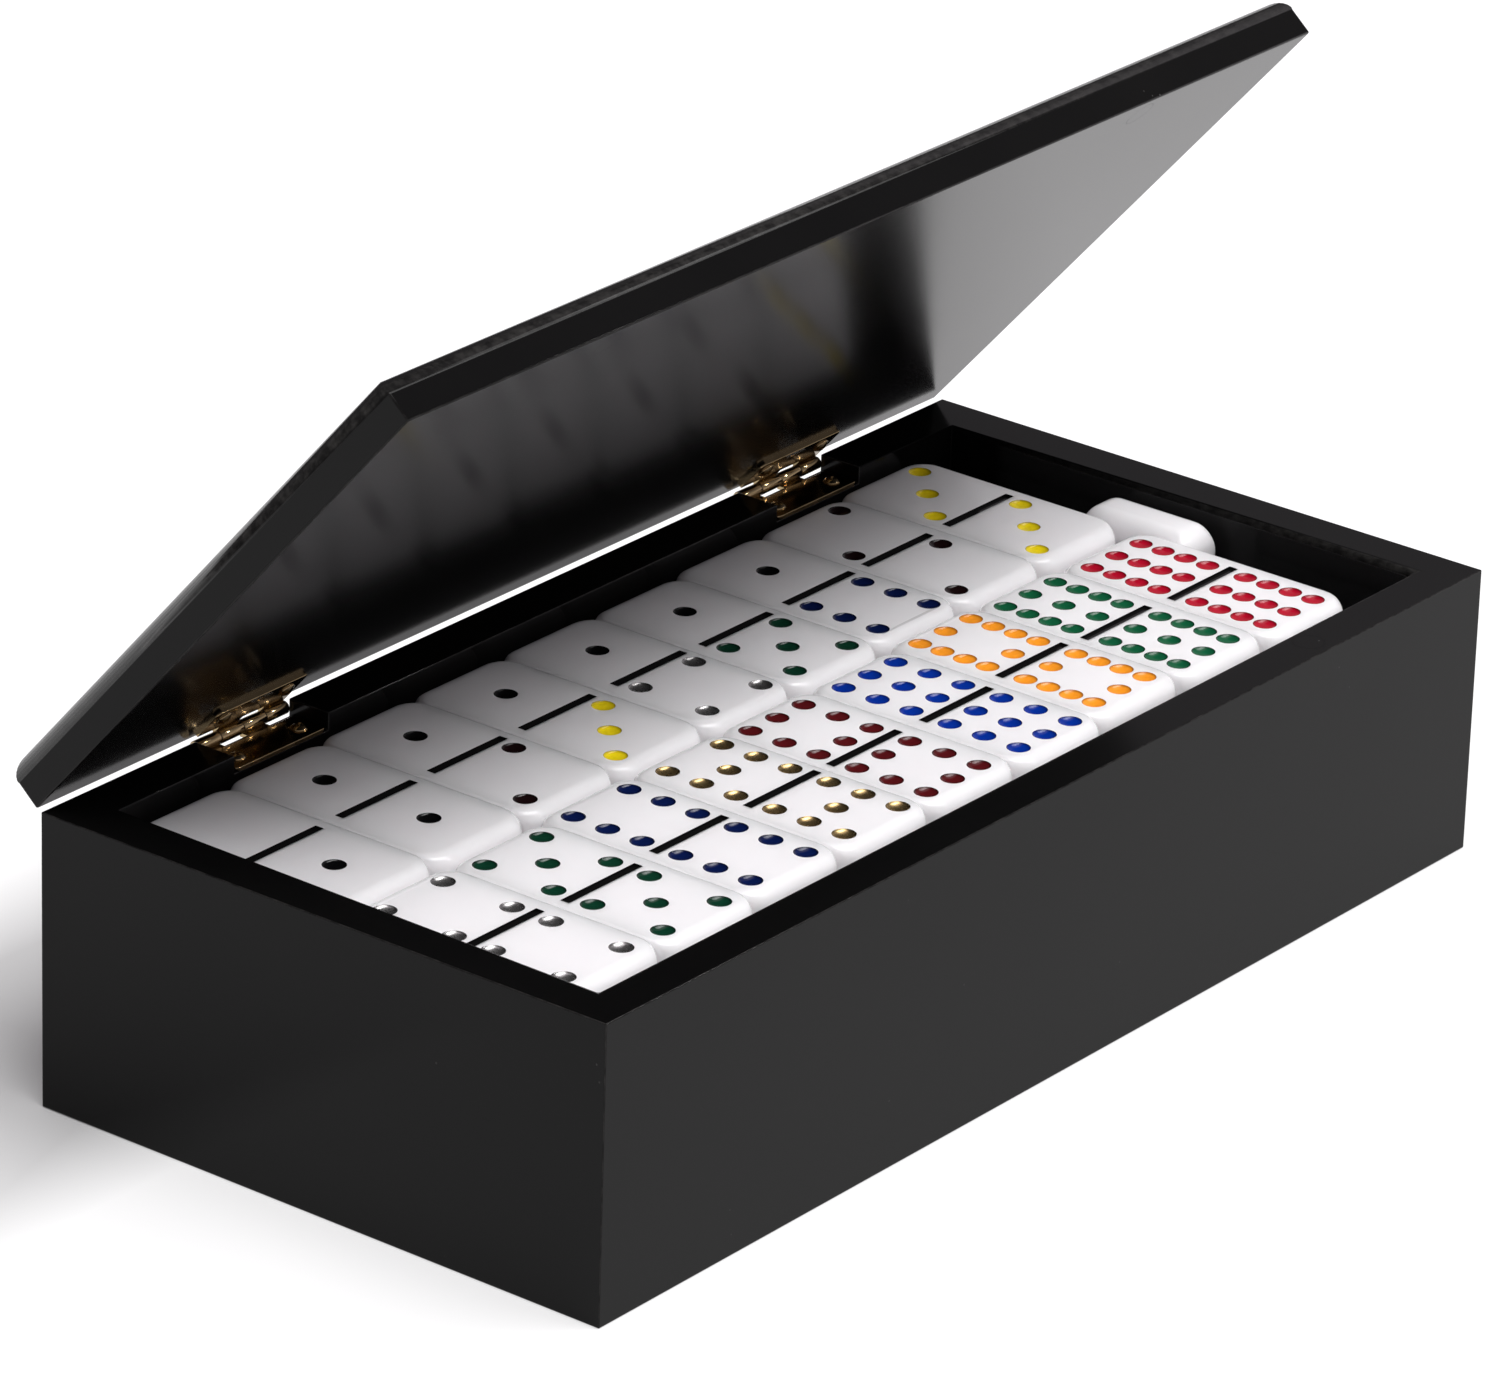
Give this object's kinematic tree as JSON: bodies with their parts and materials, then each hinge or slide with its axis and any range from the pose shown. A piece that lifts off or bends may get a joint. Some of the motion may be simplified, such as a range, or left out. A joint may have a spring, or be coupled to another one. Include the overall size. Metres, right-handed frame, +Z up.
{
  "type": "domino storage box",
  "caption": "Black painted wooden box with a butt-hinged, magnet-held lid standing open, packed with a flat-laid double-twelve set of white dominoes and one standing on end.",
  "frame": {"origin": "centre of the box's underside, on the surface it stands on", "axes": "+X along the box, away from the end with the lowest dominoes; +Y from the front to the hinged side; +Z up"},
  "size_m": [0.261, 0.1343, 0.1581],
  "materials": {
    "black_paint": "satin black paint",
    "bare_wood": "matte black stain",
    "magnet": "nickel plated",
    "brass": "polished",
    "domino_white": "glossy, with painted pips"
  },
  "bodies": {
    "box": {"bottom_panel": "bare_wood", "front_wall": "black_paint", "back_wall": "black_paint", "left_wall": "black_paint", "right_wall": "black_paint", "rim_magnet_fillers": "black_paint", "rim_magnets": "magnet", "left_hinge_box_leaf": "brass", "left_hinge_pin": "brass", "left_hinge_box_screws": "brass", "right_hinge_box_leaf": "brass", "right_hinge_pin": "brass", "right_hinge_box_screws": "brass", "domino_layer_1": "domino_white", "domino_layer_2": "domino_white", "domino_layer_3": "domino_white", "domino_layer_4": "domino_white"},
    "lid": {"lid_panel": "black_paint", "lid_magnets": "magnet", "lid_magnet_fillers": "black_paint", "left_hinge_lid_leaf": "brass", "left_hinge_lid_screws": "brass", "right_hinge_lid_leaf": "brass", "right_hinge_lid_screws": "brass"},
    "upright_domino": {"domino_upright": "domino_white"},
    "domino_0_1_tile": {"domino_0_1": "domino_white"},
    "domino_1_1_tile": {"domino_1_1": "domino_white"},
    "domino_1_2_tile": {"domino_1_2": "domino_white"},
    "domino_1_3_tile": {"domino_1_3": "domino_white"},
    "domino_1_4_tile": {"domino_1_4": "domino_white"},
    "domino_1_5_tile": {"domino_1_5": "domino_white"},
    "domino_1_6_tile": {"domino_1_6": "domino_white"},
    "domino_2_2_tile": {"domino_2_2": "domino_white"},
    "domino_3_3_tile": {"domino_3_3": "domino_white"},
    "domino_4_4_tile": {"domino_4_4": "domino_white"},
    "domino_5_5_tile": {"domino_5_5": "domino_white"},
    "domino_6_6_tile": {"domino_6_6": "domino_white"},
    "domino_7_7_tile": {"domino_7_7": "domino_white"},
    "domino_8_8_tile": {"domino_8_8": "domino_white"},
    "domino_9_9_tile": {"domino_9_9": "domino_white"},
    "domino_10_10_tile": {"domino_10_10": "domino_white"},
    "domino_11_11_tile": {"domino_11_11": "domino_white"},
    "domino_12_12_tile": {"domino_12_12": "domino_white"}
  },
  "joints": [
    {"name": "lid_hinge", "type": "hinge", "parent": "box", "child": "lid", "pos_m": [0, 0.06425, 0.05585], "axis": [-1, 0, 0], "range_deg": [-49, 131]},
    {"name": "upright_domino_lift", "type": "slide", "parent": "box", "child": "upright_domino", "axis": [0, 0, 1], "range_m": [0, 0.053]},
    {"name": "domino_0_1_lift", "type": "slide", "parent": "box", "child": "domino_0_1_tile", "axis": [0, 0, 1], "range_m": [0, 0.0135]},
    {"name": "domino_1_1_lift", "type": "slide", "parent": "box", "child": "domino_1_1_tile", "axis": [0, 0, 1], "range_m": [0, 0.0135]},
    {"name": "domino_1_2_lift", "type": "slide", "parent": "box", "child": "domino_1_2_tile", "axis": [0, 0, 1], "range_m": [0, 0.0135]},
    {"name": "domino_1_3_lift", "type": "slide", "parent": "box", "child": "domino_1_3_tile", "axis": [0, 0, 1], "range_m": [0, 0.0135]},
    {"name": "domino_1_4_lift", "type": "slide", "parent": "box", "child": "domino_1_4_tile", "axis": [0, 0, 1], "range_m": [0, 0.0135]},
    {"name": "domino_1_5_lift", "type": "slide", "parent": "box", "child": "domino_1_5_tile", "axis": [0, 0, 1], "range_m": [0, 0.0135]},
    {"name": "domino_1_6_lift", "type": "slide", "parent": "box", "child": "domino_1_6_tile", "axis": [0, 0, 1], "range_m": [0, 0.0135]},
    {"name": "domino_2_2_lift", "type": "slide", "parent": "box", "child": "domino_2_2_tile", "axis": [0, 0, 1], "range_m": [0, 0.0135]},
    {"name": "domino_3_3_lift", "type": "slide", "parent": "box", "child": "domino_3_3_tile", "axis": [0, 0, 1], "range_m": [0, 0.0135]},
    {"name": "domino_4_4_lift", "type": "slide", "parent": "box", "child": "domino_4_4_tile", "axis": [0, 0, 1], "range_m": [0, 0.0135]},
    {"name": "domino_5_5_lift", "type": "slide", "parent": "box", "child": "domino_5_5_tile", "axis": [0, 0, 1], "range_m": [0, 0.0135]},
    {"name": "domino_6_6_lift", "type": "slide", "parent": "box", "child": "domino_6_6_tile", "axis": [0, 0, 1], "range_m": [0, 0.0135]},
    {"name": "domino_7_7_lift", "type": "slide", "parent": "box", "child": "domino_7_7_tile", "axis": [0, 0, 1], "range_m": [0, 0.0135]},
    {"name": "domino_8_8_lift", "type": "slide", "parent": "box", "child": "domino_8_8_tile", "axis": [0, 0, 1], "range_m": [0, 0.0135]},
    {"name": "domino_9_9_lift", "type": "slide", "parent": "box", "child": "domino_9_9_tile", "axis": [0, 0, 1], "range_m": [0, 0.0135]},
    {"name": "domino_10_10_lift", "type": "slide", "parent": "box", "child": "domino_10_10_tile", "axis": [0, 0, 1], "range_m": [0, 0.0135]},
    {"name": "domino_11_11_lift", "type": "slide", "parent": "box", "child": "domino_11_11_tile", "axis": [0, 0, 1], "range_m": [0, 0.0135]},
    {"name": "domino_12_12_lift", "type": "slide", "parent": "box", "child": "domino_12_12_tile", "axis": [0, 0, 1], "range_m": [0, 0.0135]}
  ]
}
